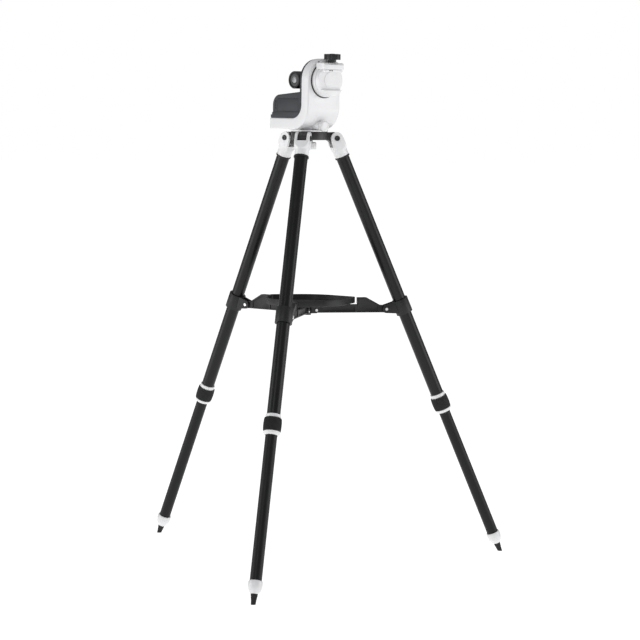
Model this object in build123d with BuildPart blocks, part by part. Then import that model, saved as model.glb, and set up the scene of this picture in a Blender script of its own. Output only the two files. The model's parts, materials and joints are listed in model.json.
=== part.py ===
from build123d import *
import os
from math import acos, atan2, cos, degrees, radians, sin

# Motorised altitude-azimuth telescope mount on a folding three-leg tripod. Millimetres, +Z up.
# The origin is on the ground, under the middle of the box round the three feet.
# On the mount, "across" is +X, from the tripod's axis towards the saddle, and the mount points along -Y.

# Tripod
PIVOT_HEIGHT = 1110.0        # leg hinge above the ground
PIVOT_RADIUS = 70.0          # leg hinge from the tripod's axis
LEG_LENGTH = 1211.0          # leg hinge to the end of the foot
LEG_ANGLES = {"front": -53.0, "right": 67.0, "left": 187.0}
LUG_HALF = 12.3              # half width of a hub lug
EAR_GAP_HALF = 12.6
EAR_HALF = 19.0
EAR_RADIUS = 16.0
SLOT_INNER = 19.0            # depth of the clevis slot on its inner side
SLOT_OUTER = 12.3            # on its outer side the slot ends at a web, which stops the leg's spread
LUG_RADIUS = 11.6            # rounding of a hub lug about its hinge
BOLT_RADIUS = 4.0
CLEVIS_END = 50.0            # along the leg, where the tube starts
CLEVIS_RADIUS = 18.5
UPPER_RADIUS = 17.1
UPPER_BORE = 15.6
LOWER_RADIUS = 14.9
LOWER_BORE = 13.4
COLLAR_START = 460.0
COLLAR_END = 500.0
COLLAR_RADIUS = 22.0
LUG_PIVOT = (468.0, -46.0)   # arm hinge: along the leg, and out from the leg's axis
LOCK_START = 737.0
NUT_START = 746.4
GRIP_END = 781.0
LOCK_END = 790.0
CAP_START = 1154.0
TIP_START = 1186.0
HUB_RADIUS = 47.0
HUB_BOTTOM = 1105.5
HUB_TOP = 1127.0

# Spreader
ARM_INNER = 22.0             # arm hinge on the spreader hub, from the axis
ARM_HALF = 6.5
FORK_GAP_HALF = 6.8
FORK_HALF = 10.3
PIN_RADIUS = 2.5
TRAY_RADIUS = 107.0
TRAY_BOTTOM = 680.0
TRAY_TOP = 696.0
LOBE_RADIUS = 12.0           # the tray bulges to a rounded lobe over each arm
LOBE_REACH = 118.0
HUMP_START = 137.0           # the arm's raised stop, outside the tray

# Mount
FLANGE_RADIUS = 48.0
FLANGE_TOP = 1131.5
BODY_BOTTOM = 1133.0
BODY_TOP = 1314.0
FOOT_TOP = 1161.0
BODY_LEFT = -97.0
ARM_FACE = 57.0              # outer face of the upright arm
ARM_BACK = 29.0              # inner face of the upright arm
BODY_HALF = 54.0
WALL = 3.0
CORNER_RADIUS = 56.0
NECK_RADIUS = 36.0
ALT_HEIGHT = 1258.0          # altitude axis
ARCH_HEIGHT = BODY_TOP - BODY_HALF
SHAFT_RADIUS = 9.0
RUNNING = 0.08               # radial clearance of a running fit
SPINDLE_RADIUS = 24.0
NECK_OUTER = 27.5            # wall round the azimuth spindle
SCREW_RADIUS = 4.76          # 3/8 inch central screw
WHEEL_RADIUS = 26.0
ALT_WHEEL_RADIUS = 38.0
WORM_RADIUS = 5.0
MOTOR_RADIUS = 7.4
PUCK_FACE = 82.0
KNOB_A = 87.5
CLUTCH_HEIGHT = 1142.0

tilt = acos(PIVOT_HEIGHT / LEG_LENGTH)
foot_radius = PIVOT_RADIUS + LEG_LENGTH * sin(tilt)
foot_x = [foot_radius * cos(radians(angle)) for angle in LEG_ANGLES.values()]
foot_y = [foot_radius * sin(radians(angle)) for angle in LEG_ANGLES.values()]
AXIS_X = -(min(foot_x) + max(foot_x)) / 2
AXIS_Y = -(min(foot_y) + max(foot_y)) / 2

os.makedirs("parts", exist_ok=True)


def save(piece, name):
    piece.part.label = name
    export_step(piece.part, f"parts/{name}.step")


def level(height):
    """A horizontal plane centred on the tripod's axis."""
    return Plane(origin=(AXIS_X, AXIS_Y, height), x_dir=(1, 0, 0), z_dir=(0, 0, 1))


def radial(angle):
    """An upright plane through the axis: x is the distance from the axis, y the height."""
    turn = radians(angle)
    return Plane(origin=(AXIS_X, AXIS_Y, 0), x_dir=(cos(turn), sin(turn), 0), z_dir=(sin(turn), -cos(turn), 0))


def side(toward_front=0.0):
    """The mount's side view: x is across, y the height, and it extrudes to the front (-Y)."""
    return Plane(origin=(AXIS_X, AXIS_Y - toward_front, 0), x_dir=(1, 0, 0), z_dir=(0, -1, 0))


def across(offset):
    """The mount's end view: x is +Y, y the height, and it extrudes across (+X)."""
    return Plane(origin=(AXIS_X + offset, AXIS_Y, 0), x_dir=(0, 1, 0), z_dir=(1, 0, 0))


def leg_frame(angle):
    """Hinge point, direction down the leg and outward normal of one leg."""
    turn = radians(angle)
    hinge = Vector(AXIS_X + PIVOT_RADIUS * cos(turn), AXIS_Y + PIVOT_RADIUS * sin(turn), PIVOT_HEIGHT)
    down = Vector(sin(tilt) * cos(turn), sin(tilt) * sin(turn), -cos(tilt))
    outward = Vector(cos(tilt) * cos(turn), cos(tilt) * sin(turn), sin(tilt))
    return hinge, down, outward


def leg_section(angle, along):
    """A plane square to the leg, that far along it."""
    hinge, down, outward = leg_frame(angle)
    return Plane(origin=hinge + down * along, x_dir=outward, z_dir=down)


def leg_side(angle):
    """The leg's side view: x runs down the leg, y outwards."""
    hinge, down, outward = leg_frame(angle)
    return Plane(origin=hinge, x_dir=down, z_dir=down.cross(outward))


def leg_axis(angle):
    hinge, down, _ = leg_frame(angle)
    return Axis(hinge, down)


# ---------------------------------------------------------------- legs
def make_clevis(name, angle):
    with BuildPart() as clevis:
        with BuildSketch(leg_side(angle)):
            Circle(EAR_RADIUS)
            with Locations((CLEVIS_END - 10, 0)):
                Rectangle(20, 2 * CLEVIS_RADIUS)
            make_hull()
        extrude(amount=EAR_HALF, both=True)
        with BuildSketch(leg_side(angle)):
            with BuildLine():
                Polyline((-20, 0), (-20, 26), (6, 26))
                TangentArc((6, 26), (34, CLEVIS_RADIUS), tangent=(1, 0))
                Polyline((34, CLEVIS_RADIUS), (CLEVIS_END, CLEVIS_RADIUS), (CLEVIS_END, 0), (-20, 0))
            make_face()
        revolve(axis=leg_axis(angle), mode=Mode.INTERSECT)
        with BuildSketch(leg_side(angle)):
            with BuildLine():
                Polyline((-20, -30), (SLOT_INNER, -30), (SLOT_INNER, -8), (SLOT_OUTER, 2), (SLOT_OUTER, 30))
                Polyline((SLOT_OUTER, 30), (-20, 30), (-20, -30))
            make_face()
        extrude(amount=EAR_GAP_HALF, both=True, mode=Mode.SUBTRACT)
        with BuildSketch(leg_side(angle)):
            Circle(BOLT_RADIUS + RUNNING)
        extrude(amount=EAR_HALF + 5, both=True, mode=Mode.SUBTRACT)
        with BuildSketch(leg_section(angle, CLEVIS_END)):
            Circle(UPPER_BORE)
        extrude(amount=30)
    save(clevis, f"{name}_clevis")


def make_upper_tube(name, angle):
    with BuildPart() as upper_tube:
        with BuildSketch(leg_section(angle, CLEVIS_END)):
            Circle(UPPER_RADIUS)
            Circle(UPPER_BORE, mode=Mode.SUBTRACT)
        extrude(amount=GRIP_END - 5 - CLEVIS_END)
    save(upper_tube, f"{name}_upper_tube")


def make_collar(name, angle):
    """The clamp round the upper tube, with two ears that take the spreader arm."""
    lug_along, lug_out = LUG_PIVOT
    with BuildPart() as collar:
        with BuildSketch(leg_side(angle)):
            with Locations((lug_along, lug_out)):
                Circle(10.5)
            with Locations((464, -18), (489, -18)):
                Circle(4)
            make_hull()
        extrude(amount=FORK_HALF + 1, both=True)
        with BuildSketch(leg_side(angle)):
            with Locations((lug_along, lug_out)):
                Rectangle(60, 100)
        extrude(amount=FORK_GAP_HALF + 0.2, both=True, mode=Mode.SUBTRACT)
        with BuildSketch(leg_section(angle, COLLAR_START)):
            Circle(COLLAR_RADIUS)
        extrude(amount=COLLAR_END - COLLAR_START)
        with BuildSketch(leg_section(angle, COLLAR_START - 10)):
            Circle(UPPER_RADIUS)
        extrude(amount=COLLAR_END - COLLAR_START + 20, mode=Mode.SUBTRACT)
        with BuildSketch(leg_side(angle)):
            with Locations((lug_along, lug_out)):
                Circle(PIN_RADIUS)
        extrude(amount=20, both=True, mode=Mode.SUBTRACT)
    save(collar, f"{name}_collar")

    with BuildPart() as screws:
        for facing in (1, -1):
            ear = leg_side(angle).offset(facing * (FORK_GAP_HALF + 0.2))
            with BuildSketch(ear):
                with Locations((lug_along, lug_out)):
                    Circle(PIN_RADIUS)
            extrude(amount=facing * (FORK_HALF + 1 - FORK_GAP_HALF - 0.2))
            with BuildSketch(leg_side(angle).offset(facing * (FORK_HALF + 1))):
                with Locations((lug_along, lug_out)):
                    Circle(4.5)
            extrude(amount=facing * 2.2, taper=20)
    save(screws, f"{name}_collar_screws")


def make_lock(name, angle):
    """The twist lock: a fixed ring, a nut round the tube's end and a rubber grip round the nut."""
    with BuildPart() as ring:
        with BuildSketch(leg_section(angle, LOCK_START)):
            Circle(19.6)
            Circle(UPPER_RADIUS, mode=Mode.SUBTRACT)
        extrude(amount=9)
        chamfer(ring.edges().filter_by(GeomType.CIRCLE).group_by(SortBy.RADIUS)[-1], 1)
    save(ring, f"{name}_lock_ring")

    with BuildPart() as nut:
        with BuildSketch(leg_side(angle)):
            with BuildLine():
                Polyline((NUT_START, 17.5), (NUT_START, 19.5), (GRIP_END, 19.5), (GRIP_END, 21.6))
                Polyline((GRIP_END, 21.6), (GRIP_END + 3, 21.2))
                RadiusArc((GRIP_END + 3, 21.2), (LOCK_END, 16.6), 9)
                Polyline((LOCK_END, 16.6), (LOCK_END, 15.25), (GRIP_END - 3, 15.25), (GRIP_END - 3, 17.5))
                Line((GRIP_END - 3, 17.5), (NUT_START, 17.5))
            make_face()
        revolve(axis=leg_axis(angle))
    save(nut, f"{name}_lock_nut")

    with BuildPart() as grip:
        with BuildSketch(leg_side(angle)):
            with BuildLine():
                Line((NUT_START, 19.5), (NUT_START, 21.5))
                ThreePointArc((NUT_START, 21.5), ((NUT_START + GRIP_END) / 2, 23.0), (GRIP_END, 21.5))
                Polyline((GRIP_END, 21.5), (GRIP_END, 19.5), (NUT_START, 19.5))
            make_face()
        revolve(axis=leg_axis(angle))
    save(grip, f"{name}_lock_grip")


def make_lower_leg(name, angle):
    with BuildPart() as lower_tube:
        with BuildSketch(leg_section(angle, 700)):
            Circle(LOWER_RADIUS)
            Circle(LOWER_BORE, mode=Mode.SUBTRACT)
        extrude(amount=CAP_START + 16 - 700)
    save(lower_tube, f"{name}_lower_tube")

    with BuildPart() as cap:
        with BuildSketch(leg_side(angle)):
            with BuildLine():
                Polyline((CAP_START, LOWER_RADIUS), (CAP_START, 17.0), (CAP_START + 3, 18.3))
                Line((CAP_START + 3, 18.3), (CAP_START + 12, 18.3))
                RadiusArc((CAP_START + 12, 18.3), (TIP_START, 9.5), 30)
                Polyline((TIP_START, 9.5), (TIP_START, 0), (CAP_START + 16, 0), (CAP_START + 16, LOWER_RADIUS))
                Line((CAP_START + 16, LOWER_RADIUS), (CAP_START, LOWER_RADIUS))
            make_face()
        revolve(axis=leg_axis(angle))
    save(cap, f"{name}_foot_cap")

    with BuildPart() as tip:
        with BuildSketch(leg_side(angle)):
            with BuildLine():
                Polyline((TIP_START, 0), (TIP_START, 9.0), (TIP_START + 5, 9.0), (LEG_LENGTH + 8, 5.8))
                Polyline((LEG_LENGTH + 8, 5.8), (LEG_LENGTH + 8, 0), (TIP_START, 0))
            make_face()
        revolve(axis=leg_axis(angle))
        split(bisect_by=Plane.XY, keep=Keep.TOP)
    save(tip, f"{name}_foot_tip")


for leg_name, leg_angle in LEG_ANGLES.items():
    make_clevis(leg_name, leg_angle)
    make_upper_tube(leg_name, leg_angle)
    make_collar(leg_name, leg_angle)
    make_lock(leg_name, leg_angle)
    make_lower_leg(leg_name, leg_angle)

# ---------------------------------------------------------------- tripod hub
with BuildPart() as hub:
    with BuildSketch(level(HUB_BOTTOM)):
        Circle(HUB_RADIUS)
    extrude(amount=HUB_TOP - HUB_BOTTOM)
    for leg_angle in LEG_ANGLES.values():
        with BuildSketch(radial(leg_angle)):
            with BuildLine():
                Polyline((30, 1125.5), (30, HUB_BOTTOM), (HUB_RADIUS, HUB_BOTTOM), (59, 1099), (61, 1094.5))
                Polyline((61, 1094.5), (64.5, 1094.5), (PIVOT_RADIUS, 1100), (PIVOT_RADIUS, 1121.5))
                Polyline((PIVOT_RADIUS, 1121.5), (64, 1125.5), (30, 1125.5))
            make_face()
            with Locations((PIVOT_RADIUS, PIVOT_HEIGHT)):
                Circle(LUG_RADIUS)
        extrude(amount=LUG_HALF, both=True)
        with BuildSketch(radial(leg_angle)):
            with Locations((PIVOT_RADIUS, PIVOT_HEIGHT)):
                Circle(BOLT_RADIUS)
        extrude(amount=LUG_HALF + 5, both=True, mode=Mode.SUBTRACT)
    with BuildSketch(level(HUB_BOTTOM - 20)):
        Circle(SCREW_RADIUS + 0.4)
    extrude(amount=60, mode=Mode.SUBTRACT)
save(hub, "hub")

with BuildPart() as hinge_bolts:
    for leg_angle in LEG_ANGLES.values():
        with BuildSketch(radial(leg_angle)):
            with Locations((PIVOT_RADIUS, PIVOT_HEIGHT)):
                Circle(BOLT_RADIUS)
        extrude(amount=EAR_HALF + 0.2, both=True)
        for facing in (1, -1):
            with BuildSketch(radial(leg_angle).offset(facing * (EAR_HALF + 0.2))):
                with Locations((PIVOT_RADIUS, PIVOT_HEIGHT)):
                    Circle(6.2)
            extrude(amount=facing * 2.6, taper=12)
save(hinge_bolts, "hinge_bolts")

with BuildPart() as mount_knob:
    with BuildSketch(level(1081)):
        Circle(19)
    extrude(amount=19)
    fillet(mount_knob.edges(), 2.5)
    with BuildSketch(level(1100)):
        Circle(9)
    extrude(amount=5)
    with BuildSketch(level(1100)):
        Circle(SCREW_RADIUS)
    extrude(amount=37)
save(mount_knob, "mount_knob")

# ---------------------------------------------------------------- spreader and tray
ARM_PIVOT_RADIUS = PIVOT_RADIUS + LUG_PIVOT[0] * sin(tilt) + LUG_PIVOT[1] * cos(tilt)
ARM_PIVOT_HEIGHT = PIVOT_HEIGHT - LUG_PIVOT[0] * cos(tilt) + LUG_PIVOT[1] * sin(tilt)

with BuildPart() as spreader_hub:
    with BuildSketch(level(ARM_PIVOT_HEIGHT - 12)):
        Circle(10)
    extrude(amount=TRAY_BOTTOM - ARM_PIVOT_HEIGHT + 12)
    with BuildSketch(level(TRAY_BOTTOM - 3)):
        Circle(32)
    extrude(amount=3)
    for leg_angle in LEG_ANGLES.values():
        with BuildSketch(radial(leg_angle)):
            with BuildLine():
                Polyline((8, TRAY_BOTTOM - 2), (8, ARM_PIVOT_HEIGHT - 8), (ARM_INNER, ARM_PIVOT_HEIGHT - 8))
                ThreePointArc(
                    (ARM_INNER, ARM_PIVOT_HEIGHT - 8),
                    (ARM_INNER + 8, ARM_PIVOT_HEIGHT),
                    (ARM_INNER + 8, TRAY_BOTTOM - 2),
                )
                Line((ARM_INNER + 8, TRAY_BOTTOM - 2), (8, TRAY_BOTTOM - 2))
            make_face()
        extrude(amount=FORK_HALF, both=True)
    for leg_angle in LEG_ANGLES.values():
        with BuildSketch(radial(leg_angle)):
            with Locations((33, ARM_PIVOT_HEIGHT - 2)):
                Rectangle(38, 2 * (TRAY_BOTTOM - 3 - ARM_PIVOT_HEIGHT + 2))
        extrude(amount=FORK_GAP_HALF, both=True, mode=Mode.SUBTRACT)
        with BuildSketch(radial(leg_angle)):
            with Locations((ARM_INNER, ARM_PIVOT_HEIGHT)):
                Circle(PIN_RADIUS)
        extrude(amount=FORK_HALF + 2, both=True, mode=Mode.SUBTRACT)
save(spreader_hub, "spreader_hub")

with BuildPart() as spreader_pins:
    for leg_angle in LEG_ANGLES.values():
        with BuildSketch(radial(leg_angle)):
            with Locations((ARM_INNER, ARM_PIVOT_HEIGHT)):
                Circle(PIN_RADIUS)
        extrude(amount=FORK_HALF, both=True)
        for facing in (1, -1):
            with BuildSketch(radial(leg_angle).offset(facing * FORK_HALF)):
                with Locations((ARM_INNER, ARM_PIVOT_HEIGHT)):
                    Circle(4.2)
            extrude(amount=facing * 1.8, taper=20)
save(spreader_pins, "spreader_pins")

for leg_name, leg_angle in LEG_ANGLES.items():
    with BuildPart() as arm:
        with BuildSketch(radial(leg_angle)):
            with BuildLine():
                Polyline(
                    (ARM_INNER, ARM_PIVOT_HEIGHT - 7),
                    (ARM_PIVOT_RADIUS, ARM_PIVOT_HEIGHT - 9),
                    (ARM_PIVOT_RADIUS, ARM_PIVOT_HEIGHT + 9),
                    (198, 674),
                    (161, 694),
                    (HUMP_START, 694),
                    (HUMP_START, 676),
                    (40, 676),
                    (ARM_INNER, ARM_PIVOT_HEIGHT + 7),
                    (ARM_INNER, ARM_PIVOT_HEIGHT - 7),
                )
            make_face()
            with Locations((ARM_INNER, ARM_PIVOT_HEIGHT)):
                Circle(7)
            with Locations((ARM_PIVOT_RADIUS, ARM_PIVOT_HEIGHT)):
                Circle(9)
        extrude(amount=ARM_HALF, both=True)
        for facing in (1, -1):
            with BuildSketch(radial(leg_angle).offset(facing * ARM_HALF)):
                with BuildLine():
                    Polyline((40, 659), (128, 658), (128, 671), (40, 671), (40, 659))
                make_face()
                with BuildLine():
                    Polyline((134, 658), (192, 657), (192, 672), (160, 689), (142, 689), (134, 672), (134, 658))
                make_face()
            extrude(amount=-facing * 2.2, mode=Mode.SUBTRACT)
        with BuildSketch(radial(leg_angle)):
            with Locations((ARM_INNER, ARM_PIVOT_HEIGHT)):
                Circle(PIN_RADIUS + 0.06)
            with Locations((ARM_PIVOT_RADIUS, ARM_PIVOT_HEIGHT)):
                Circle(PIN_RADIUS + 0.06)
        extrude(amount=20, both=True, mode=Mode.SUBTRACT)
    save(arm, f"{leg_name}_arm")



def tray_outline(height, inset):
    """A round dish drawn out to a lobe over each arm."""
    with BuildSketch(level(height)) as outline:
        Circle(TRAY_RADIUS - inset)
        for angle in LEG_ANGLES.values():
            turn = radians(angle)
            with Locations((LOBE_REACH * cos(turn), LOBE_REACH * sin(turn))):
                Circle(LOBE_RADIUS - inset)
        make_hull()
    return outline.sketch


with BuildPart() as tray:
    extrude(tray_outline(TRAY_BOTTOM, 0), amount=TRAY_TOP - TRAY_BOTTOM)
    fillet(tray.edges().group_by(Axis.Z)[0], 1.5)
    extrude(tray_outline(TRAY_BOTTOM + 2.5, 2.5), amount=40, mode=Mode.SUBTRACT)
save(tray, "tray")


# ---------------------------------------------------------------- mount: base and azimuth drive
with BuildPart() as base_flange:
    with BuildSketch(level(HUB_TOP)):
        Circle(FLANGE_RADIUS)
    extrude(amount=FLANGE_TOP - HUB_TOP)
    chamfer(base_flange.edges(), 0.8)
    with BuildSketch(level(FLANGE_TOP)):
        Circle(SPINDLE_RADIUS)
    extrude(amount=1143.5 - FLANGE_TOP)
    with BuildSketch(level(HUB_TOP)):
        Circle(SCREW_RADIUS + RUNNING)
    extrude(amount=12, mode=Mode.SUBTRACT)
save(base_flange, "base_flange")

with BuildPart() as azimuth_wheel:
    with BuildSketch(level(1143.5)):
        Circle(WHEEL_RADIUS)
        with PolarLocations(WHEEL_RADIUS, 60):
            Rectangle(2.0, 1.3, mode=Mode.SUBTRACT)
    extrude(amount=6)
save(azimuth_wheel, "azimuth_wheel")

WORM_A = -(WHEEL_RADIUS + WORM_RADIUS + 0.5)
WORM_Z = 1146.5


def make_worm(plane, name):
    """A short worm with its thread as rings, on a shaft, centred on the plane."""
    with BuildPart() as worm:
        with BuildSketch(plane):
            Circle(WORM_RADIUS - 1)
        extrude(amount=13, both=True)
        with BuildSketch(plane):
            Circle(1.5)
        extrude(amount=19, both=True)
        for step in range(-5, 6):
            with BuildSketch(plane.offset(step * 2.2 - 0.5)):
                Circle(WORM_RADIUS)
            extrude(amount=1.0)
    save(worm, name)


make_worm(Plane(origin=(AXIS_X + WORM_A, AXIS_Y, WORM_Z), x_dir=(1, 0, 0), z_dir=(0, -1, 0)), "azimuth_worm")

ALT_WORM_B = -(ALT_WHEEL_RADIUS + WORM_RADIUS + 0.5)
ALT_WHEEL_A = 41.0
alt_worm_plane = Plane(origin=(AXIS_X + ALT_WHEEL_A, AXIS_Y - ALT_WORM_B, ALT_HEIGHT), z_dir=(0, 0, 1))
make_worm(alt_worm_plane, "altitude_worm")

with BuildPart() as drive_motors:
    with BuildSketch(side(20)):
        with Locations((WORM_A, WORM_Z)):
            Circle(MOTOR_RADIUS)
    extrude(amount=28)
    with BuildSketch(alt_worm_plane.offset(-20)):
        Circle(MOTOR_RADIUS)
    extrude(amount=-28)
save(drive_motors, "drive_motors")

# ---------------------------------------------------------------- mount: housing


def body_outline(inset):
    """The housing's side outline, a foot and an upright arm, drawn that far inside its outer faces."""
    low = BODY_BOTTOM + inset
    right = ARM_FACE - inset
    corner = (ARM_FACE - CORNER_RADIUS, BODY_BOTTOM + CORNER_RADIUS)
    neck = (ARM_BACK - NECK_RADIUS, FOOT_TOP + NECK_RADIUS)
    with BuildSketch(side()) as outline:
        with BuildLine():
            Line((BODY_LEFT + inset, low), (corner[0], low))
            CenterArc(corner, CORNER_RADIUS - inset, -90, 90)
            Polyline((right, corner[1]), (right, BODY_TOP - inset), (ARM_BACK + inset, BODY_TOP - inset))
            Line((ARM_BACK + inset, BODY_TOP - inset), (ARM_BACK + inset, neck[1]))
            CenterArc(neck, NECK_RADIUS + inset, 0, -90)
            Polyline((neck[0], FOOT_TOP - inset), (BODY_LEFT + inset, FOOT_TOP - inset), (BODY_LEFT + inset, low))
        make_face()
    return outline.sketch


def arch(inset):
    """The round-topped end outline of the housing."""
    with BuildSketch(across(0)) as outline:
        with Locations((0, ARCH_HEIGHT)):
            Circle(BODY_HALF - inset)
        with Locations((0, ARCH_HEIGHT - 100)):
            Rectangle(2 * (BODY_HALF - inset), 200)
    return outline.sketch


with BuildPart() as cavity:
    extrude(body_outline(WALL), amount=BODY_HALF - WALL, both=True)
    extrude(arch(WALL), amount=110, both=True, mode=Mode.INTERSECT)
    with BuildSketch(level(BODY_BOTTOM)):
        Circle(NECK_OUTER)
    extrude(amount=9.5, mode=Mode.SUBTRACT)

with BuildPart() as shell:
    extrude(body_outline(0), amount=BODY_HALF, both=True)
    extrude(arch(0), amount=110, both=True, mode=Mode.INTERSECT)
    fillet(shell.edges().filter_by(lambda edge: edge.length > 20), 3.5)
    with BuildSketch(level(BODY_BOTTOM)):
        Circle(NECK_OUTER)
    extrude(amount=9.5)
    with BuildSketch(across(24)):
        with Locations((0, CLUTCH_HEIGHT)):
            Circle(13.4)
    extrude(amount=25.6)
    with BuildSketch(level(BODY_BOTTOM)):
        with Locations((45, 0)):
            Rectangle(60, 60)
    extrude(amount=-20, mode=Mode.SUBTRACT)
    add(cavity.part, mode=Mode.SUBTRACT)
    with BuildSketch(level(BODY_BOTTOM - 5)):
        Circle(SPINDLE_RADIUS + RUNNING)
    extrude(amount=16, mode=Mode.SUBTRACT)
    with BuildSketch(across(ARM_FACE - 10)):
        with Locations((0, ALT_HEIGHT)):
            Circle(SHAFT_RADIUS + RUNNING)
    extrude(amount=20, mode=Mode.SUBTRACT)
    with BuildSketch(across(ARM_BACK - 5)):
        with Locations((0, ALT_HEIGHT - 4)):
            RectangleRounded(80, 88, 30)
    extrude(amount=10, mode=Mode.SUBTRACT)
    with BuildSketch(across(20)):
        with Locations((0, CLUTCH_HEIGHT)):
            Circle(4 + RUNNING)
    extrude(amount=40, mode=Mode.SUBTRACT)
save(shell, "shell")

HOUSING_A = 23.0
NECK_TOP = FOOT_TOP + NECK_RADIUS
NECK_LEFT = ARM_BACK - NECK_RADIUS
HOUSING_LOW = NECK_TOP - (NECK_RADIUS**2 - (HOUSING_A - NECK_LEFT) ** 2) ** 0.5

with BuildPart() as inner_housing:
    with BuildSketch(side()):
        with BuildLine():
            Polyline((ARM_BACK, NECK_TOP), (ARM_BACK, BODY_TOP - 1), (HOUSING_A, BODY_TOP - 1))
            Line((HOUSING_A, BODY_TOP - 1), (HOUSING_A, HOUSING_LOW))
            RadiusArc((HOUSING_A, HOUSING_LOW), (ARM_BACK, NECK_TOP), -NECK_RADIUS)
        make_face()
    extrude(amount=BODY_HALF, both=True)
    extrude(arch(1), amount=60, mode=Mode.INTERSECT)
    with BuildSketch(across(HOUSING_A - 5)):
        with Locations((0, ALT_HEIGHT)):
            Circle(SHAFT_RADIUS + 0.5)
    extrude(amount=20, mode=Mode.SUBTRACT)
save(inner_housing, "inner_housing")


def box_outline(inset):
    """Side outline of the battery box, which fits the housing's concave neck."""
    left = -90 + inset
    right = HOUSING_A - inset
    low = FOOT_TOP + inset
    reach = NECK_RADIUS - inset
    drop = (reach**2 - (right - NECK_LEFT) ** 2) ** 0.5
    with BuildSketch(side()) as outline:
        with BuildLine():
            Line((left, low), (NECK_LEFT, low))
            CenterArc((NECK_LEFT, NECK_TOP), reach, -90, degrees(atan2(-drop, right - NECK_LEFT)) + 90)
            Polyline((right, NECK_TOP - drop), (right, 1229 - inset), (-63.5, 1221.7 - inset))
            RadiusArc((-63.5, 1221.7 - inset), (left, 1194.5), inset - 27)
            Line((left, 1194.5), (left, low))
        make_face()
    return outline.sketch


BOX_HALF = 50.0
DOOR_LEFT = -70.0
DOOR_RIGHT = 14.0
DOOR_LOW = 1179.0
DOOR_HIGH = 1212.0
DOOR_DEPTH = 2.2
PLINTH_TOP = 1176.0          # the box is slightly wider below this height
PLINTH_HALF = 51.6

with BuildPart() as battery_box:
    extrude(box_outline(0), amount=PLINTH_HALF, both=True)
    with BuildSketch(level(PLINTH_TOP)):
        Rectangle(300, 300)
    extrude(amount=100, mode=Mode.SUBTRACT)
    extrude(box_outline(0), amount=BOX_HALF, both=True)
    fillet(battery_box.edges().filter_by(lambda edge: edge.length < 60 and edge.center().Z > 1185), 2.5)
    with BuildSketch(side()):
        with Locations((-91, 1165.6)):
            Rectangle(12, 8.6)
    extrude(amount=BOX_HALF, both=True)
    extrude(box_outline(2.5), amount=BOX_HALF - 2.5, both=True, mode=Mode.SUBTRACT)
    with BuildSketch(side(BOX_HALF - DOOR_DEPTH)):
        with Locations(((DOOR_LEFT + DOOR_RIGHT) / 2, (DOOR_LOW + DOOR_HIGH) / 2)):
            Rectangle(DOOR_RIGHT - DOOR_LEFT, DOOR_HIGH - DOOR_LOW)
    extrude(amount=10, mode=Mode.SUBTRACT)
    with BuildSketch(side(BOX_HALF - 5)):
        with Locations(((DOOR_LEFT + DOOR_RIGHT) / 2, (DOOR_LOW + DOOR_HIGH) / 2)):
            Rectangle(DOOR_RIGHT - DOOR_LEFT - 6, DOOR_HIGH - DOOR_LOW - 6)
    extrude(amount=10, mode=Mode.SUBTRACT)
    with BuildSketch(side(BOX_HALF - 1.6)):
        with Locations((-76, 1196)):
            SlotOverall(22, 4.5, rotation=90)
    extrude(amount=10, mode=Mode.SUBTRACT)
save(battery_box, "battery_box")

with BuildPart() as battery_door:
    with BuildSketch(side(BOX_HALF - DOOR_DEPTH)):
        with Locations(((DOOR_LEFT + DOOR_RIGHT) / 2, (DOOR_LOW + DOOR_HIGH) / 2)):
            Rectangle(DOOR_RIGHT - DOOR_LEFT - 0.8, DOOR_HIGH - DOOR_LOW - 0.8)
    extrude(amount=DOOR_DEPTH)
save(battery_door, "battery_door")

with BuildPart() as battery_cells:
    for row in range(4):
        for layer in range(2):
            centre = (-68 + 17 * row, 1173 + 16 * layer)
            with BuildSketch(side(-25)):
                with Locations(centre):
                    Circle(7.2)
            extrude(amount=49)
            with BuildSketch(side(24)):
                with Locations(centre):
                    Circle(2.7)
            extrude(amount=1.4)
save(battery_cells, "battery_cells")

with BuildPart() as circuit_board:
    with BuildSketch(across(49)):
        with Locations((0, 1203)):
            Rectangle(56, 22)
    extrude(amount=1.6)
    with BuildSketch(across(46.5)):
        with Locations((-14, 1203), (8, 1205)):
            Rectangle(10, 10)
    extrude(amount=2.5)
save(circuit_board, "circuit_board")

with BuildPart() as azimuth_knob:
    with BuildSketch(across(50)):
        with Locations((0, CLUTCH_HEIGHT)):
            Circle(14)
    extrude(amount=14)
    fillet(azimuth_knob.edges(), 2.0)
    with BuildSketch(across(34)):
        with Locations((0, CLUTCH_HEIGHT)):
            Circle(4)
    extrude(amount=16)
save(azimuth_knob, "azimuth_knob")

# ---------------------------------------------------------------- altitude axis and saddle
with BuildPart() as altitude_washer:
    with BuildSketch(across(ARM_FACE)):
        with Locations((0, ALT_HEIGHT)):
            Circle(45)
            Circle(SHAFT_RADIUS + 0.5, mode=Mode.SUBTRACT)
    extrude(amount=1.8)
save(altitude_washer, "altitude_washer")

with BuildPart() as altitude_shaft:
    with BuildSketch(across(-2)):
        with Locations((0, ALT_HEIGHT)):
            Circle(SHAFT_RADIUS)
    extrude(amount=61)
save(altitude_shaft, "altitude_shaft")

with BuildPart() as altitude_wheel:
    with BuildSketch(across(ALT_WHEEL_A - 3)):
        with Locations((0, ALT_HEIGHT)):
            Circle(ALT_WHEEL_RADIUS)
            Circle(SHAFT_RADIUS, mode=Mode.SUBTRACT)
            with PolarLocations(ALT_WHEEL_RADIUS, 80):
                Rectangle(2.0, 1.4, mode=Mode.SUBTRACT)
    extrude(amount=6)
save(altitude_wheel, "altitude_wheel")

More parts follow.
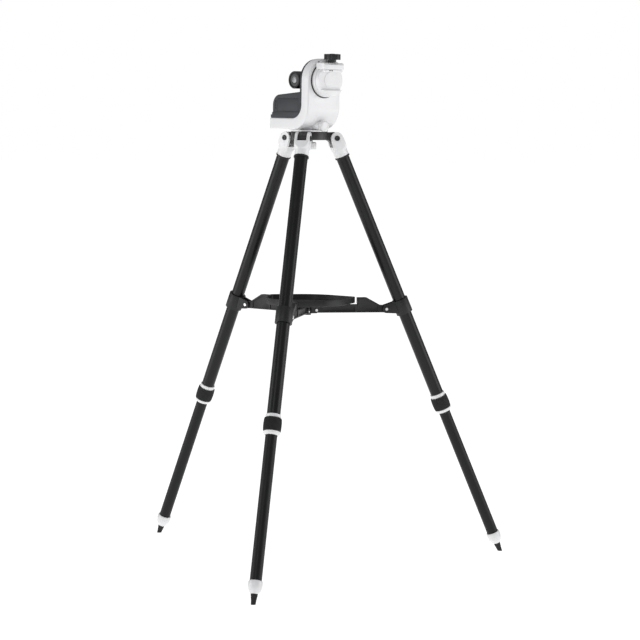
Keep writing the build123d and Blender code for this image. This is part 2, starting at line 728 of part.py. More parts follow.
with BuildPart() as saddle_plate:
    with BuildSketch(across(59)):
        with Locations((0, ALT_HEIGHT)):
            Circle(42.4)
    extrude(amount=10)
    fillet(saddle_plate.edges().group_by(Axis.X)[-1], 1.5)
    with BuildSketch(across(69)):
        with Locations((0, ALT_HEIGHT)):
            Circle(40)
    extrude(amount=PUCK_FACE - 69)
    with BuildSketch(across(PUCK_FACE)):
        with Locations((0, ALT_HEIGHT)):
            Circle(40)
        with Locations((0, ALT_HEIGHT + 16)):
            Rectangle(90, 80, mode=Mode.SUBTRACT)
    extrude(amount=9)
    fillet(saddle_plate.edges().group_by(Axis.X)[-1], 1.5)
    with BuildSketch(across(PUCK_FACE)):
        with Locations((0, ALT_HEIGHT)):
            Circle(21)
    extrude(amount=1.2)
    with BuildSketch(across(60)):
        with Locations((0, 1300)):
            Rectangle(80, 28)
    extrude(amount=40, mode=Mode.SUBTRACT)
save(saddle_plate, "saddle_plate")

with BuildPart() as clamp_bridge:
    with BuildSketch(side()):
        with BuildLine():
            Polyline(
                (64, 1286),
                (95, 1286),
                (95, 1298),
                (91, 1303),
                (76, 1303),
                (70, 1310),
                (64, 1310),
                (64, 1286),
            )
        make_face()
    extrude(amount=33, both=True)
    with BuildSketch(across(60)):
        with Locations((0, ALT_HEIGHT)):
            Circle(55)
    extrude(amount=50, mode=Mode.INTERSECT)
    fillet(clamp_bridge.edges().filter_by(Axis.Y), 1.5)
    with BuildSketch(level(1280)):
        with Locations((KNOB_A, 0)):
            Circle(3 + RUNNING)
    extrude(amount=40, mode=Mode.SUBTRACT)
save(clamp_bridge, "clamp_bridge")

with BuildPart() as saddle_jaw:
    with BuildSketch(side()):
        with BuildLine():
            Polyline((83.5, 1285.6), (94, 1285.6), (94, 1280), (92, 1278.5), (83.5, 1280), (83.5, 1285.6))
        make_face()
    extrude(amount=30, both=True)
save(saddle_jaw, "saddle_jaw")

with BuildPart() as clamp_knob:
    with BuildSketch(level(1311)):
        with Locations((KNOB_A, 0)):
            Circle(17.5)
            with PolarLocations(16, 6):
                Circle(5.4)
    extrude(amount=14.5)
    fillet(clamp_knob.edges().group_by(Axis.Z)[-1], 1.5)
    with BuildSketch(level(1304.5)):
        with Locations((KNOB_A, 0)):
            Circle(10)
    extrude(amount=6.5)
    with BuildSketch(level(1286)):
        with Locations((KNOB_A, 0)):
            Circle(3)
    extrude(amount=19)
save(clamp_knob, "clamp_knob")

SENSOR_A = -27.5
SENSOR_HEIGHT = ALT_HEIGHT + 1.5
with BuildPart() as sensor_barrel:
    with BuildSketch(side(-20)):
        with Locations((SENSOR_A, SENSOR_HEIGHT)):
            Circle(22.5)
    extrude(amount=51.3)
    fillet(sensor_barrel.edges(), 2.0)
    with BuildSketch(across(SENSOR_A)):
        with Locations((0, ALT_HEIGHT)):
            Circle(15)
    extrude(amount=HOUSING_A - 0.5 - SENSOR_A)
    with BuildSketch(side(28.8)):
        with Locations((SENSOR_A, SENSOR_HEIGHT)):
            Circle(17)
    extrude(amount=10, mode=Mode.SUBTRACT)
    with BuildSketch(across(-2)):
        with Locations((0, ALT_HEIGHT)):
            Circle(SHAFT_RADIUS)
    extrude(amount=60, mode=Mode.SUBTRACT)
save(sensor_barrel, "sensor_barrel")

with BuildPart() as sensor_lens:
    with BuildSketch(side(28.8)):
        with Locations((SENSOR_A, SENSOR_HEIGHT)):
            Circle(9)
    extrude(amount=2.2)
    fillet(sensor_lens.edges().group_by(Axis.Y)[0], 1.5)
save(sensor_lens, "sensor_lens")
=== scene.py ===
"""Looks for a motorised mount on a three-leg tripod.

Satin white mouldings, black tubes and rubber grips.
"""
import json
from math import atan2, cos, pi, radians, sin

import bpy
from mathutils import Matrix, Vector


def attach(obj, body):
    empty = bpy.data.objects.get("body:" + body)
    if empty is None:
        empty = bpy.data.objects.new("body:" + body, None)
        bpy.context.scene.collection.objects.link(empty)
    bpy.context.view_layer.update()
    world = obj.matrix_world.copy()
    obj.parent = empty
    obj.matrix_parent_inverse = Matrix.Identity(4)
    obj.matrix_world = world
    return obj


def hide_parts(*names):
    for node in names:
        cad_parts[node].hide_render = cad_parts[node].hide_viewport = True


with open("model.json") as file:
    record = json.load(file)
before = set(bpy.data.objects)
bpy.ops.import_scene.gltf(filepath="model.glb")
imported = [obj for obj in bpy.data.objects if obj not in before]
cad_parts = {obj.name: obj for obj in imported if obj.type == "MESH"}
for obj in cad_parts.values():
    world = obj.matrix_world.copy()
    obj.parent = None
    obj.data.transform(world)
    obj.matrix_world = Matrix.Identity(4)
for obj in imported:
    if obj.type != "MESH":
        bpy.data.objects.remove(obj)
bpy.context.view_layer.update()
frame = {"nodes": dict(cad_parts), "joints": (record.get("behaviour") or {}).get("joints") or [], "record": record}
record = frame["record"]
joints = {joint["name"]: joint for joint in frame["joints"]}
body_of = {node: body for body, nodes in record["behaviour"]["bodies"].items() for node in nodes}
slot_of = {entry["node"]: entry["material_slot"] for entry in record["subparts"]}

MM = 0.001
LEGS = ("front", "right", "left")
AXIS = Vector(joints["azimuth_turn"]["pos_m"])      # a point on the tripod's upright axis
ALTITUDE = Vector(joints["altitude_turn"]["pos_m"])  # a point on the altitude axis
KNOB = Vector(joints["clamp_knob_turn"]["pos_m"])

bpy.ops.object.select_all(action="DESELECT")


# ------------------------------------------------------------ camera, lights and floor
def make_camera():
    """A long lens six metres away, a little above the hinges, leaning down and very slightly tilted."""
    distance, height, bearing = 5.9808, 1.2008, radians(-40.3)
    pitch, turn_right, roll = 0.094, 0.0056, 0.0119
    out = Vector((cos(bearing), sin(bearing), 0))
    up = Vector((0, 0, 1))
    right = (-out).cross(up)
    level = -out * cos(turn_right) + right * sin(turn_right)
    right = level.cross(up)
    look = level * cos(pitch) - up * sin(pitch)
    top = right.cross(look)
    tilted_right = right * cos(roll) + top * sin(roll)
    tilted_top = top * cos(roll) - right * sin(roll)
    camera = bpy.data.objects.new("camera", bpy.data.cameras.new("camera"))
    bpy.context.scene.collection.objects.link(camera)
    spot = Vector((AXIS.x, AXIS.y, 0)) + out * distance + up * height
    turn = Matrix((tilted_right, tilted_top, -look)).transposed().to_4x4()
    camera.matrix_world = Matrix.Translation(spot) @ turn
    camera.data.lens = 129.48
    camera.data.sensor_width = 36.0
    camera.data.clip_end = 200.0
    bpy.context.scene.camera = camera
    return out, right


def soft_light(name, spot, target, size, power):
    data = bpy.data.lights.new(name, "AREA")
    data.shape = "RECTANGLE"
    data.size, data.size_y = size
    data.energy = power
    light = bpy.data.objects.new(name, data)
    bpy.context.scene.collection.objects.link(light)
    light.location = spot
    light.rotation_euler = (Vector(target) - Vector(spot)).to_track_quat("-Z", "Y").to_euler()


def make_lights(toward_camera, camera_right):
    """Tall softboxes at both sides light the edges of the tubes, and a large one hangs overhead."""
    middle = Vector((AXIS.x, AXIS.y, 0.75))
    left_spot = middle - camera_right * 3.4 + toward_camera * 0.7
    right_spot = middle + camera_right * 3.4 + toward_camera * 0.5
    front_spot = middle - camera_right * 1.8 + toward_camera * 5.0 + Vector((0, 0, 2.6))
    soft_light("left_box", left_spot, middle, (2.2, 3.0), 42)
    soft_light("right_box", right_spot, middle, (2.2, 3.0), 42)
    soft_light("front_box", front_spot, middle, (2.4, 2.0), 34)
    soft_light("top_box", middle + Vector((0, 0, 3.4)), middle, (3.0, 3.0), 22)
    bpy.context.scene.view_settings.view_transform = "Standard"
    world = bpy.data.worlds.new("studio")
    bpy.context.scene.world = world
    world.use_nodes = True
    nodes, links = world.node_tree.nodes, world.node_tree.links
    nodes.clear()
    seen = nodes.new("ShaderNodeBackground")
    seen.inputs["Color"].default_value = (1, 1, 1, 1)
    seen.inputs["Strength"].default_value = 1.0
    lit = nodes.new("ShaderNodeBackground")
    lit.inputs["Color"].default_value = (0.97, 0.98, 1, 1)
    lit.inputs["Strength"].default_value = 0.3
    path = nodes.new("ShaderNodeLightPath")
    mix = nodes.new("ShaderNodeMixShader")
    out = nodes.new("ShaderNodeOutputWorld")
    links.new(path.outputs["Is Camera Ray"], mix.inputs[0])
    links.new(lit.outputs[0], mix.inputs[1])
    links.new(seen.outputs[0], mix.inputs[2])
    links.new(mix.outputs[0], out.inputs["Surface"])


def make_floor():
    bpy.ops.mesh.primitive_circle_add(vertices=96, radius=40, fill_type="NGON", location=(0, 0, -0.0005))
    floor = bpy.context.object
    floor.name = "floor"
    bpy.ops.object.transform_apply(location=True)
    material = bpy.data.materials.new("pale_floor")
    material.use_nodes = True
    shader = material.node_tree.nodes["Principled BSDF"]
    shader.inputs["Base Color"].default_value = (0.35, 0.35, 0.35, 1)
    shader.inputs["Roughness"].default_value = 0.9
    shader.inputs["Emission Color"].default_value = (1, 1, 1, 1)
    shader.inputs["Emission Strength"].default_value = 0.97
    floor.data.materials.append(material)


# ------------------------------------------------------------ shared surface effects
def new_group(name, inputs, outputs):
    group = bpy.data.node_groups.new(name, "ShaderNodeTree")
    for label, kind, value in inputs:
        socket = group.interface.new_socket(label, in_out="INPUT", socket_type=kind)
        socket.default_value = value
    for label, kind in outputs:
        group.interface.new_socket(label, in_out="OUTPUT", socket_type=kind)
    return group, group.nodes.new("NodeGroupInput"), group.nodes.new("NodeGroupOutput")


def make_finish_group():
    """Slow colour drift and handling marks: the roughness wanders between two values."""
    number, colour = "NodeSocketFloat", "NodeSocketColor"
    group, given, out = new_group(
        "handled_finish",
        [("Colour", colour, (0.5, 0.5, 0.5, 1)), ("Worn Colour", colour, (0.5, 0.5, 0.5, 1)),
         ("Patch Scale", number, 30.0), ("Smooth", number, 0.3), ("Rough", number, 0.4)],
        [("Colour", colour), ("Roughness", number)],
    )
    nodes, links = group.nodes, group.links
    place = nodes.new("ShaderNodeTexCoord")
    patches = nodes.new("ShaderNodeTexNoise")
    patches.inputs["Detail"].default_value = 4.0
    links.new(place.outputs["Object"], patches.inputs["Vector"])
    links.new(given.outputs["Patch Scale"], patches.inputs["Scale"])
    blend = nodes.new("ShaderNodeMix")
    blend.data_type = "RGBA"
    links.new(patches.outputs["Fac"], blend.inputs["Factor"])
    links.new(given.outputs["Colour"], blend.inputs["A"])
    links.new(given.outputs["Worn Colour"], blend.inputs["B"])
    spread = nodes.new("ShaderNodeMapRange")
    links.new(patches.outputs["Fac"], spread.inputs["Value"])
    spread.inputs["From Min"].default_value = 0.3
    spread.inputs["From Max"].default_value = 0.7
    links.new(given.outputs["Smooth"], spread.inputs["To Min"])
    links.new(given.outputs["Rough"], spread.inputs["To Max"])
    links.new(blend.outputs["Result"], out.inputs["Colour"])
    links.new(spread.outputs["Result"], out.inputs["Roughness"])
    return group


def make_grain_group():
    """The fine texture of a moulded or powder-coated skin, as a height."""
    number = "NodeSocketFloat"
    group, given, out = new_group(
        "moulded_grain", [("Grain Scale", number, 2500.0), ("Pebble", number, 0.5)], [("Height", number)]
    )
    nodes, links = group.nodes, group.links
    place = nodes.new("ShaderNodeTexCoord")
    cells = nodes.new("ShaderNodeTexVoronoi")
    grit = nodes.new("ShaderNodeTexNoise")
    grit.inputs["Detail"].default_value = 3.0
    links.new(place.outputs["Object"], cells.inputs["Vector"])
    links.new(place.outputs["Object"], grit.inputs["Vector"])
    links.new(given.outputs["Grain Scale"], cells.inputs["Scale"])
    links.new(given.outputs["Grain Scale"], grit.inputs["Scale"])
    mix = nodes.new("ShaderNodeMix")
    links.new(given.outputs["Pebble"], mix.inputs["Factor"])
    links.new(grit.outputs["Fac"], mix.inputs["A"])
    links.new(cells.outputs["Distance"], mix.inputs["B"])
    links.new(mix.outputs["Result"], out.inputs["Height"])
    return group


FINISH = make_finish_group()
GRAIN = make_grain_group()


def finish(name, colour, worn, smooth, rough, grain=2500.0, pebble=0.5, bump=0.1, depth=0.0001, patches=25.0,
           metal=0.0, coat=0.0, coat_rough=0.1, specular=0.5):
    """A painted, moulded or machined surface with its own drift of colour, gloss and grain."""
    material = bpy.data.materials.new(name)
    material.use_nodes = True
    nodes, links = material.node_tree.nodes, material.node_tree.links
    shader = nodes["Principled BSDF"]
    marks = nodes.new("ShaderNodeGroup")
    marks.node_tree = FINISH
    marks.inputs["Colour"].default_value = (*colour, 1)
    marks.inputs["Worn Colour"].default_value = (*worn, 1)
    marks.inputs["Patch Scale"].default_value = patches
    marks.inputs["Smooth"].default_value = smooth
    marks.inputs["Rough"].default_value = rough
    skin = nodes.new("ShaderNodeGroup")
    skin.node_tree = GRAIN
    skin.inputs["Grain Scale"].default_value = grain
    skin.inputs["Pebble"].default_value = pebble
    relief = nodes.new("ShaderNodeBump")
    relief.inputs["Strength"].default_value = bump
    relief.inputs["Distance"].default_value = depth
    links.new(marks.outputs["Colour"], shader.inputs["Base Color"])
    links.new(marks.outputs["Roughness"], shader.inputs["Roughness"])
    links.new(skin.outputs["Height"], relief.inputs["Height"])
    links.new(relief.outputs["Normal"], shader.inputs["Normal"])
    shader.inputs["Metallic"].default_value = metal
    shader.inputs["Coat Weight"].default_value = coat
    shader.inputs["Coat Roughness"].default_value = coat_rough
    shader.inputs["Specular IOR Level"].default_value = specular
    return material


WHITE = finish("white_moulding", (0.80, 0.80, 0.81), (0.76, 0.76, 0.765), 0.26, 0.36, 1800, 0.6, 0.08,
               coat=0.25)
WHITE_PAINT = finish("white_paint", (0.79, 0.79, 0.80), (0.74, 0.74, 0.75), 0.3, 0.4, 1200, 0.4, 0.1,
                     coat=0.2)
TUBE_BLACK = finish("tube_black", (0.006, 0.006, 0.0065), (0.009, 0.009, 0.0095), 0.26, 0.34, 2600, 0.3,
                    0.18, specular=0.28)
LOWER_BLACK = finish("lower_tube_black", (0.006, 0.006, 0.0065), (0.009, 0.009, 0.0095), 0.38, 0.48, 1500,
                     0.7, 0.35, specular=0.25)
RUBBER = finish("grip_rubber", (0.011, 0.011, 0.011), (0.019, 0.019, 0.019), 0.62, 0.78, 2200, 0.6, 0.3,
                specular=0.35)
MOULDED_BLACK = finish("black_moulding", (0.009, 0.009, 0.0095), (0.014, 0.014, 0.015), 0.38, 0.5, 1400,
                       0.8, 0.25, specular=0.35)
CAST_BLACK = finish("black_casting", (0.01, 0.01, 0.0105), (0.016, 0.016, 0.017), 0.36, 0.48, 900, 0.7, 0.3)
SLATE = finish("slate_moulding", (0.028, 0.031, 0.036), (0.036, 0.039, 0.044), 0.44, 0.56, 1500, 0.8, 0.25,
               specular=0.35)
BRIGHT_STEEL = finish("bright_screw", (0.72, 0.72, 0.71), (0.6, 0.6, 0.6), 0.2, 0.34, 3000, 0.2, 0.1,
                      metal=1.0)
DARK_STEEL = finish("black_screw", (0.03, 0.03, 0.032), (0.05, 0.05, 0.05), 0.3, 0.42, 2400, 0.2, 0.1,
                    metal=0.6)
BRASS = finish("machined_brass", (0.70, 0.52, 0.24), (0.6, 0.43, 0.2), 0.24, 0.38, 2600, 0.2, 0.1, metal=1.0)
CELL = finish("cell_jacket", (0.05, 0.07, 0.10), (0.06, 0.08, 0.11), 0.2, 0.3, 1500, 0.3, 0.05, coat=0.3)
BOARD = finish("solder_resist", (0.02, 0.14, 0.06), (0.03, 0.17, 0.07), 0.3, 0.42, 900, 0.8, 0.2)
LENS = finish("lens_glass", (0.24, 0.245, 0.255), (0.29, 0.295, 0.3), 0.08, 0.14, 900, 0.2, 0.02, coat=1.0,
              coat_rough=0.03)
# Painted reflection: a lighter grey for the finder's front ring, standing in for the lamps' reflection on its
# black face.
PAINTED_REFLECTION_GREY = finish("ring_painted_reflection", (0.035, 0.035, 0.037), (0.05, 0.05, 0.052), 0.34, 0.46, 1600, 0.5, 0.15)
# Painted shade: a flat black for pieces that stand in for shadow in gaps, slots and recesses (the altitude washer,
# the battery slot insert, the mount knob recess); the clamp knob cap uses it too.
SHADOW_BLACK = finish("painted_shade_black", (0.012, 0.012, 0.012), (0.018, 0.018, 0.018), 0.5, 0.6, 1500, 0.5, 0.1)
BY_SLOT = {
    "white_plastic": WHITE, "white_metal": WHITE_PAINT, "black_rubber": RUBBER, "black_tube": TUBE_BLACK,
    "black_plastic": MOULDED_BLACK, "dark_plastic": SLATE, "black_metal": CAST_BLACK,
    "black_steel": DARK_STEEL, "steel": BRIGHT_STEEL, "brass": BRASS, "cell_jacket": CELL, "board": BOARD,
    "lens": LENS,
}


def dress_frame():
    """Gives every carried-over node its material."""
    for node, piece in frame["nodes"].items():
        material = BY_SLOT[slot_of[node]]
        if node.endswith("lower_tube"):
            material = LOWER_BLACK
        # Painted shade: the altitude washer is made black to stand in for the shadow in the gap between the arm
        # and the altitude disc.
        if node == "altitude_washer":
            material = SHADOW_BLACK
        piece.data.materials.clear()
        piece.data.materials.append(material)


# ------------------------------------------------------------ modelling helpers
def pick(piece):
    bpy.ops.object.select_all(action="DESELECT")
    piece.select_set(True)
    bpy.context.view_layer.objects.active = piece


def apply_modifier(piece, kind, **settings):
    pick(piece)
    modifier = piece.modifiers.new(kind.lower(), kind)
    for key, value in settings.items():
        setattr(modifier, key, value)
    bpy.ops.object.modifier_apply(modifier=modifier.name)


def soften(piece, width, segments=2, angle=32):
    """Rounds the sharp edges by that many millimetres and smooths the curved faces."""
    if width:
        apply_modifier(piece, "BEVEL", width=width * MM, segments=segments, limit_method="ANGLE",
                       angle_limit=radians(angle), use_clamp_overlap=True)
    pick(piece)
    bpy.ops.object.shade_smooth_by_angle(angle=radians(angle))


def place(piece, matrix):
    """Moves a piece modelled at the origin to its place, kept in its mesh."""
    piece.matrix_world = matrix
    pick(piece)
    bpy.ops.object.transform_apply(location=True, rotation=True, scale=True)


def dress(piece, name, body, slot, material, *nodes):
    """Names a finished piece, gives it its material and hangs it on its body in place of the nodes."""
    piece.name = name
    piece.data.name = name
    piece.data.materials.clear()
    piece.data.materials.append(material)
    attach(piece, body)
    if nodes:
        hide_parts(*nodes)
    return piece


def copy_node(node):
    """A welded copy of a node's mesh, with flat faces made whole, ready to be worked on."""
    piece = bpy.data.objects.new("copy", frame["nodes"][node].data.copy())
    bpy.context.scene.collection.objects.link(piece)
    pick(piece)
    bpy.ops.object.mode_set(mode="EDIT")
    bpy.ops.mesh.select_all(action="SELECT")
    bpy.ops.mesh.customdata_custom_splitnormals_clear()
    bpy.ops.mesh.remove_doubles(threshold=0.000004)
    bpy.ops.mesh.dissolve_limited(angle_limit=radians(0.4))
    bpy.ops.object.mode_set(mode="OBJECT")
    return piece


def soft_copy(node, width, material=None, segments=2):
    piece = copy_node(node)
    soften(piece, width, segments)
    slot = slot_of[node]
    return dress(piece, f"{node}_skin", body_of[node], slot, material or BY_SLOT[slot], node)


def turned(profile, steps=64):
    """A lathe-turned shape about +Z: the profile's points are (radius, height) in millimetres."""
    mesh = bpy.data.meshes.new("turned")
    points = [(radius * MM, 0, height * MM) for radius, height in profile]
    mesh.from_pydata(points, [(i, i + 1) for i in range(len(points) - 1)], [])
    piece = bpy.data.objects.new("turned", mesh)
    bpy.context.scene.collection.objects.link(piece)
    pick(piece)
    bpy.ops.object.mode_set(mode="EDIT")
    bpy.ops.mesh.select_all(action="SELECT")
    bpy.ops.mesh.spin(steps=steps, angle=2 * pi, center=(0, 0, 0), axis=(0, 0, 1))
    bpy.ops.mesh.select_all(action="SELECT")
    bpy.ops.mesh.remove_doubles(threshold=0.000004)
    bpy.ops.mesh.normals_make_consistent(inside=False)
    bpy.ops.object.mode_set(mode="OBJECT")
    return piece


def flute(piece, steps, every, scale, low, high, least_radius):
    """Presses in every nth column of a turned piece's outer wall, between two heights, as grooves."""
    for vertex in piece.data.vertices:
        x, y, z = vertex.co
        column = round(atan2(y, x) / (2 * pi / steps)) % steps
        outer = (x * x + y * y) ** 0.5 > least_radius * MM
        if outer and low * MM < z < high * MM and column % every == 0:
            vertex.co.x *= scale
            vertex.co.y *= scale


def frame_at(origin, direction):
    """A matrix that stands a piece's +Z along the direction at that point."""
    return Matrix.Translation(origin) @ Vector(direction).to_track_quat("Z", "Y").to_matrix().to_4x4()


def leg_frame(leg, along):
    """The frame that far down a leg from its hinge, in millimetres, with +Z down the leg."""
    hinge = Vector(joints[f"{leg}_leg_fold"]["pos_m"])
    down = -Vector(joints[f"{leg}_leg_retract"]["axis"])
    return frame_at(hinge + down * along * MM, down)


# ------------------------------------------------------------ legs
def make_grips():
    """The rubber grip of each twist lock: a barrel with fine ribs, a smooth lip at both ends."""
    start, length, steps = 746.4, 34.6, 144
    outline = [(21.3, 0), (21.9, 1.2), (22.3, 3), (22.3, 3.6), (22.7, 8), (22.95, 13), (23.0, 17.3)]
    outline += [(radius, length - height) for radius, height in reversed(outline[:-1])]
    wall = [(19.5, length), (19.5, 0), (21.3, 0)]
    for leg in LEGS:
        grip = turned(outline + wall, steps)
        flute(grip, steps, 3, 0.962, 3.3, length - 3.3, 20)
        soften(grip, 0, angle=38)
        place(grip, leg_frame(leg, start))
        dress(grip, f"{leg}_ribbed_grip", f"{leg}_lock", "black_rubber", RUBBER, f"{leg}_lock_grip")


def make_leg_skins():
    for leg in LEGS:
        soft_copy(f"{leg}_clevis", 1.0, segments=3)
        soft_copy(f"{leg}_collar", 0.8)
        soft_copy(f"{leg}_lock_ring", 0.3)
        soft_copy(f"{leg}_foot_cap", 0)
        soft_copy(f"{leg}_lock_nut", 0.3)
        soft_copy(f"{leg}_arm", 0.9)


def make_tube_bands():
    """A slim moulded band where each tube enters its clevis."""
    for leg in LEGS:
        band = turned([(17.2, 49.8), (19.2, 49.8), (19.6, 50.5), (19.6, 53.2), (19.0, 54), (17.2, 54),
                       (17.2, 49.8)])
        soften(band, 0)
        place(band, leg_frame(leg, 0))
        dress(band, f"{leg}_tube_band", f"{leg}_leg", "black_plastic", MOULDED_BLACK)


def make_feet():
    """Ribbed rubber tips, cut level with the ground."""
    for leg in LEGS:
        outline = [(0, 1184.5), (9.0, 1184.5)]
        for groove in range(4):
            height = 1187.5 + groove * 4.2
            radius = 9.0 - groove * 0.62
            outline += [(radius, height), (radius - 0.75, height + 0.9), (radius - 0.8, height + 1.9)]
            outline += [(radius - 0.35, height + 2.8)]
        outline += [(6.15, 1206), (5.8, 1219), (0, 1219)]
        tip = turned(outline, 48)
        place(tip, leg_frame(leg, 0))
        bpy.ops.object.mode_set(mode="EDIT")
        bpy.ops.mesh.select_all(action="SELECT")
        bpy.ops.mesh.bisect(plane_co=(0, 0, 0.00002), plane_no=(0, 0, -1), use_fill=True, clear_outer=True)
        bpy.ops.object.mode_set(mode="OBJECT")
        soften(tip, 0, angle=40)
        dress(tip, f"{leg}_ribbed_tip", f"{leg}_lower_leg", "black_rubber", RUBBER, f"{leg}_foot_tip")


# ------------------------------------------------------------ hub and spreader
def socket_head(radius, height, recess):
    """A socket-head screw's top: a rounded drum with a six-sided recess."""
    head = turned([(0, 0), (radius, 0), (radius, height * 0.7), (radius - height * 0.3, height),
                   (0, height)], 36)
    bpy.ops.mesh.primitive_cylinder_add(vertices=6, radius=recess * MM, depth=height * 1.2 * MM,
                                        location=(0, 0, height * MM))
    cutter = bpy.context.object
    apply_modifier(head, "BOOLEAN", operation="DIFFERENCE", object=cutter, solver="EXACT")
    bpy.data.objects.remove(cutter)
    soften(head, 0.15)
    return head


def make_hinge_bolts():
    """The three hinge screws: a black socket head at both ends of each plain shank."""
    ear_face, shank_radius, head_radius, head_height, recess = 19.2, 4, 6.9, 3.0, 3.1
    parts = []
    for leg in LEGS:
        hinge = Vector(joints[f"{leg}_leg_fold"]["pos_m"])
        along = Vector(joints[f"{leg}_leg_fold"]["axis"])
        outline = [(0, -ear_face), (shank_radius, -ear_face), (shank_radius, ear_face), (0, ear_face)]
        shank = turned(outline, 32)
        soften(shank, 0)
        place(shank, frame_at(hinge, along))
        parts.append(shank)
        for facing in (1, -1):
            head = socket_head(head_radius, head_height, recess)
            place(head, frame_at(hinge + along * facing * ear_face * MM, along * facing))
            parts.append(head)
    pick(parts[0])
    for part in parts:
        part.select_set(True)
    bpy.ops.object.join()
    dress(bpy.context.object, "hinge_screws", "hub", "black_steel", DARK_STEEL, "hinge_bolts")


def make_mount_knob():
    """The white hand knob under the hub, fluted round its rim, with painted shade in a small recess: a shallow
    black cup on the side facing the camera.
    """
    steps = 96
    knob = turned([(0, 1137), (0, 1081), (15, 1081), (18, 1082), (18.9, 1084), (19, 1090), (18.9, 1096),
                   (18, 1098.6), (15.5, 1099.8), (9.2, 1100), (9, 1105), (4.8, 1105), (4.8, 1137),
                   (0, 1137)], steps)
    flute(knob, steps, 8, 0.93, 1082.5, 1098, 17)
    soften(knob, 0, angle=40)
    place(knob, Matrix.Translation((AXIS.x, AXIS.y, 0)))
    dress(knob, "mount_knob_skin", "mount_knob", "white_plastic", WHITE, "mount_knob")
    # Painted shade: a shallow black cup stands in for the shadow in the knob's small recess.
    recess_shade = turned([(0, 0), (3.0, 0), (3.0, 1.0), (2.2, 1.0), (2.0, 0.3), (0, 0.3)], 24)
    outward = toward_camera.copy()
    place(recess_shade, frame_at(Vector((AXIS.x, AXIS.y, 1.0885)) + outward * 18.4 * MM, outward))
    dress(recess_shade, "mount_knob_recess_shade", "mount_knob", "black_plastic", SHADOW_BLACK)


def make_spreader_skins():
    soft_copy("hub", 1.0, segments=3)
    soft_copy("spreader_hub", 0.6)
    soft_copy("tray", 0.6)
    centre = Matrix.Translation((AXIS.x, AXIS.y, 0))
    for name, radius, height, thick in (("outer_ridge", 88, 682.6, 0.7), ("middle_ridge", 62, 682.6, 0.7),
                                        ("inner_ridge", 36, 682.6, 0.7)):
        bpy.ops.mesh.primitive_torus_add(major_segments=128, minor_segments=10, major_radius=radius * MM,
                                         minor_radius=thick * MM, location=(0, 0, height * MM))
        ring = bpy.context.object
        pick(ring)
        bpy.ops.object.transform_apply(location=True)
        soften(ring, 0, angle=60)
        place(ring, centre)
        dress(ring, f"tray_{name}", "tray", "black_plastic", MOULDED_BLACK)


# ------------------------------------------------------------ mount
def make_mount_skins():
    soft_copy("battery_box", 0.9, segments=3)
    soft_copy("battery_door", 0.5)
    soft_copy("inner_housing", 0.9)
    soft_copy("saddle_plate", 0.6, segments=3)
    soft_copy("clamp_bridge", 0.7, segments=3)
    soft_copy("saddle_jaw", 0.4)
    soft_copy("clamp_knob", 0.7, segments=3)
    soft_copy("base_flange", 0.5)
    soft_copy("shell", 0.5)


def make_battery_slot_shade():
    """Painted shade: a black insert filling the slot beside the battery door, so that the slot reads dark."""
    bpy.ops.mesh.primitive_cube_add(size=MM)
    insert = bpy.context.object
    width, depth, height = 4.0, 0.8, 21.0
    insert.scale = (width, depth, height)
    pick(insert)
    bpy.ops.object.transform_apply(scale=True)
    soften(insert, 0.2)
    place(insert, Matrix.Translation((AXIS.x - 76 * MM, AXIS.y - 48.8 * MM, 1.196)))
    dress(insert, "battery_slot_shade", "head", "black_plastic", SHADOW_BLACK)


def make_azimuth_knob():
    steps = 72
    knob = turned([(0, -16), (4, -16), (4, 0), (11, 0), (13.2, 1.0), (14, 3), (14, 10.5), (13.2, 12.8),
                   (11.5, 13.8), (9, 14), (8.4, 13.3),
                   (0, 13.3)], steps)
    flute(knob, steps, 6, 0.95, 1.5, 12.5, 12.5)
    soften(knob, 0, angle=42)
    place(knob, frame_at(Vector((AXIS.x + 50 * MM, AXIS.y, 1.142)), (1, 0, 0)))
    dress(knob, "azimuth_knob_skin", "azimuth_knob", "white_plastic", WHITE, "azimuth_knob")


def make_saddle_details():
    """Small dark screws in the bridge and jaw, a turned ring on the puck's face and a cap on the knob."""
    places = (
        ("bridge_end_screw", Vector((AXIS.x + 70 * MM, AXIS.y - 29.5 * MM, 1.3045)), (0.25, -1, 0.15), 2.2,
         "saddle"),
        ("jaw_screw_a", Vector((AXIS.x + 93.9 * MM, AXIS.y - 6 * MM, 1.2831)), (1, 0, 0), 1.8, "saddle_jaw"),
        ("jaw_screw_b", Vector((AXIS.x + 93.9 * MM, AXIS.y - 13 * MM, 1.2831)), (1, 0, 0), 1.8, "saddle_jaw"),
    )
    for name, spot, facing, radius, body in places:
        screw = socket_head(radius, 1.0, radius * 0.5)
        place(screw, frame_at(spot, facing))
        dress(screw, name, body, "black_steel", DARK_STEEL)
    cap = turned([(0, 0), (6.2, 0), (6.2, 0.5), (5.6, 0.9), (4.4, 0.9), (4.0, 0.5), (0, 0.5)], 40)
    place(cap, Matrix.Translation((KNOB.x, KNOB.y, 1.32545)))
    dress(cap, "clamp_knob_cap", "clamp_knob", "black_plastic", SHADOW_BLACK)
    ring = turned([(39.2, 0), (40.3, 0), (40.3, 0.8), (39.9, 1.2), (39.2, 1.2), (39.2, 0)], 96)
    place(ring, frame_at(Vector((AXIS.x + 69.2 * MM, AXIS.y, ALTITUDE.z)), (1, 0, 0)))
    dress(ring, "puck_step_ring", "saddle", "white_plastic", WHITE)


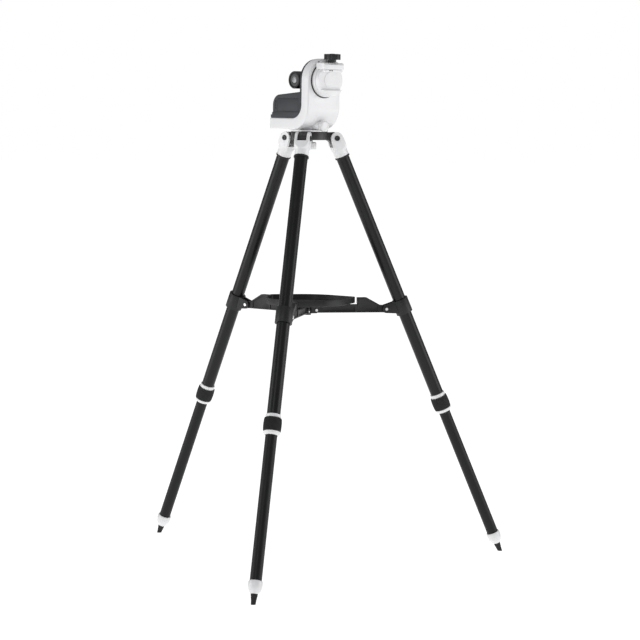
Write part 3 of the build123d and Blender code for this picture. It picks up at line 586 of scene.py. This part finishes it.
def make_sensor():
    """The round finder: a black barrel with a knurled band, a grey ring and a small domed lens; the ring's grey is
    a painted reflection on the black front.
    """
    steps = 120
    front = Vector((AXIS.x - 27.5 * MM, AXIS.y, ALTITUDE.z + 1.5 * MM))
    barrel = turned([(0, -20), (18.5, -20), (21.2, -19.2), (22, -17.5), (22, -12), (21.4, -11.4),
                     (21.4, -10.6),
                     (22.4, -10), (22.4, 10), (21.5, 10.7), (21.5, 11.6), (22.5, 12.2), (22.5, 29.3),
                     (21.8, 30.7),
                     (20.6, 31.3), (18.2, 31.3), (17.3, 30.6), (17.0, 28.8), (0, 28.8)], steps)
    flute(barrel, steps, 3, 0.975, -9.8, 9.8, 21)
    soften(barrel, 0, angle=38)
    place(barrel, frame_at(front, (0, -1, 0)))
    dress(barrel, "finder_barrel", "saddle", "black_plastic", MOULDED_BLACK)
    boss = turned([(0, 0), (15, 0), (15, 33.7), (15.6, 34.3), (16.8, 34.5), (16.8, 36.3), (9.2, 36.3),
                   (9.2, 12),
                   (0, 12)], 64)
    soften(boss, 0, angle=38)
    place(boss, frame_at(Vector((AXIS.x - 14 * MM, AXIS.y, ALTITUDE.z)), (1, 0, 0)))
    dress(boss, "finder_boss", "saddle", "black_plastic", MOULDED_BLACK, "sensor_barrel")
    # The ring's grey is a painted reflection: it stands in for the lamps' reflection on the finder's black domed
    # front.
    ring = turned([(9.5, 28.7), (9.5, 29.3), (10.4, 29.8), (15.2, 29.6), (16.4, 29.2), (16.4, 28.7),
                   (9.5, 28.7)], 72)
    soften(ring, 0, angle=38)
    place(ring, frame_at(front, (0, -1, 0)))
    dress(ring, "finder_ring", "saddle", "dark_plastic", PAINTED_REFLECTION_GREY)
    lens = turned([(0, 28.7), (9.0, 28.7), (9.0, 29.3), (8.2, 29.9), (6.3, 30.4), (3.9, 30.8), (0, 31.0)], 48)
    soften(lens, 0, angle=50)
    place(lens, frame_at(front, (0, -1, 0)))
    dress(lens, "finder_lens", "saddle", "lens", LENS, "sensor_lens")


toward_camera, camera_right = make_camera()
make_lights(toward_camera, camera_right)
make_floor()
dress_frame()
make_grips()
make_leg_skins()
make_tube_bands()
make_feet()
make_hinge_bolts()
make_mount_knob()
make_spreader_skins()
make_mount_skins()
make_battery_slot_shade()
make_azimuth_knob()
make_saddle_details()
make_sensor()
